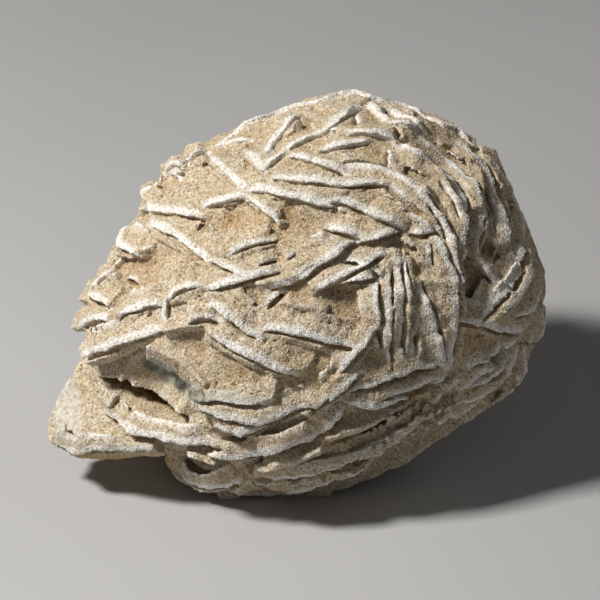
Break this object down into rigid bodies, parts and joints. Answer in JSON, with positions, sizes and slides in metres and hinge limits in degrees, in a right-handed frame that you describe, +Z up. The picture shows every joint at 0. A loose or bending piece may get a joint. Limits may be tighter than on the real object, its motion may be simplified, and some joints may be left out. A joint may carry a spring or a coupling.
{
  "type": "gypsum sand rose",
  "caption": "Desert rose mineral cluster: lens-shaped gypsum blades grown together in sand into one domed mass, with thin pale rims and sandy faces.",
  "frame": {"origin": "bottom centre of the bounding box, on the flat patches the rose rests on", "axes": "+Z up; +X along the longest extent, away from the lobe; -Y towards the side that the show face looks out of, slanting up"},
  "size_m": [0.071, 0.052, 0.0517],
  "materials": {
    "gypsum": "sand-covered matte faces with pale worn rims"
  },
  "bodies": {
    "root": {"sand_rose": "gypsum"}
  },
  "joints": []
}
